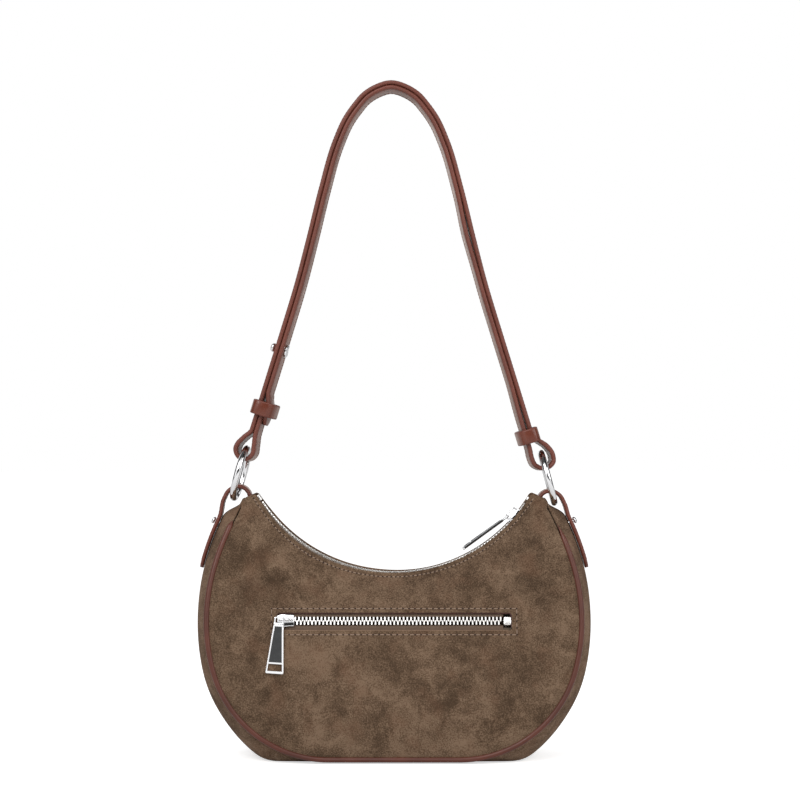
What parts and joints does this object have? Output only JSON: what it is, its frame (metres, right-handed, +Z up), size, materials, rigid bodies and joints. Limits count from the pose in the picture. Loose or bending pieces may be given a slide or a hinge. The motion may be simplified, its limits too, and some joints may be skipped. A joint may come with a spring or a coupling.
{
  "type": "crossbody bag",
  "caption": "Half-moon crossbody bag in suede with piped seams, a curved top zip, a zipped front pocket, ring tabs and a doubled leather shoulder strap.",
  "frame": {"origin": "centre of the bounding box's base: the middle of the flat bottom, on the surface that the bag stands on", "axes": "+Z up through the strap's top, +X to the right of someone who looks at the pocket, -Y out of the front panel with the zipped pocket"},
  "size_m": [0.2712, 0.076, 0.4648],
  "materials": {
    "suede": "suede, matt mottled nap",
    "piping_leather": "smooth leather, satin",
    "strap_leather": "smooth leather, semi-gloss, stitched edges",
    "bright_hardware": "polished nickel plate",
    "zip_fittings": "polished nickel plate",
    "zip_teeth": "bright nickel",
    "zip_tape": "woven tape, matt",
    "lining_cloth": "plain woven cloth, matt",
    "board": "matt"
  },
  "bodies": {
    "bag": {"back_panel": "suede", "back_piping": "piping_leather", "base_board": "board", "front_panel": "suede", "front_piping": "piping_leather", "gusset": "suede", "lining": "lining_cloth", "pocket_bag": "lining_cloth", "pocket_end_stop": "zip_teeth", "pocket_tape_lower": "zip_tape", "pocket_tape_upper": "zip_tape", "pocket_teeth_lower": "zip_teeth", "pocket_teeth_upper": "zip_teeth", "tab_left": "strap_leather", "tab_right": "strap_leather", "tab_stud_left": "bright_hardware", "tab_stud_right": "bright_hardware", "top_end_stop": "zip_teeth", "top_stop_back": "zip_teeth", "top_stop_front": "zip_teeth", "top_tape_back": "zip_tape", "top_tape_front": "zip_tape", "top_teeth_back": "zip_teeth", "top_teeth_front": "zip_teeth"},
    "ring_left": {"ring_left": "bright_hardware"},
    "ring_right": {"ring_right": "bright_hardware"},
    "strap": {"strap": "strap_leather", "strap_stud": "bright_hardware"},
    "keeper_left": {"keeper_left": "strap_leather"},
    "keeper_right": {"keeper_right": "strap_leather"},
    "top_slider": {"top_slider": "zip_fittings"},
    "top_puller": {"top_puller": "zip_fittings"},
    "pocket_slider": {"pocket_slider": "zip_fittings"},
    "pocket_puller": {"pocket_puller": "zip_fittings"}
  },
  "joints": [
    {"name": "strap_swing", "type": "hinge", "parent": "bag", "child": "strap", "pos_m": [0, 0, 0.1936], "axis": [0.9999, 0, -0.0151], "range_deg": [-20, 20]},
    {"name": "ring_left_spin", "type": "hinge", "parent": "bag", "child": "ring_left", "pos_m": [-0.106, 0, 0.1952], "axis": [-0.9654, 0.0337, 0.2587], "continuous": true},
    {"name": "ring_right_spin", "type": "hinge", "parent": "bag", "child": "ring_right", "pos_m": [0.106, 0, 0.192], "axis": [-0.9658, 0.0169, -0.2588], "continuous": true},
    {"name": "keeper_left_slide", "type": "slide", "parent": "strap", "child": "keeper_left", "axis": [0.2949, 0, 0.9555], "range_m": [0, 0.02]},
    {"name": "keeper_right_slide", "type": "slide", "parent": "strap", "child": "keeper_right", "axis": [-0.2941, 0, 0.9558], "range_m": [0, 0.02]},
    {"name": "top_slide", "type": "hinge", "parent": "bag", "child": "top_slider", "pos_m": [0, 0, 0.2361], "axis": [0, 1, 0], "range_deg": [-3.5, 94]},
    {"name": "top_puller_flip", "type": "hinge", "parent": "top_slider", "child": "top_puller", "pos_m": [0.07863, 0, 0.16553], "axis": [0, 1, 0], "range_deg": [0, 100]},
    {"name": "pocket_slide", "type": "slide", "parent": "bag", "child": "pocket_slider", "axis": [1, 0, 0], "range_m": [0, 0.142]},
    {"name": "pocket_puller_swing", "type": "hinge", "parent": "pocket_slider", "child": "pocket_puller", "pos_m": [-0.0781, -0.02702, 0.0965], "axis": [0, -0.9578, 0.2874], "range_deg": [-3, 35]}
  ]
}
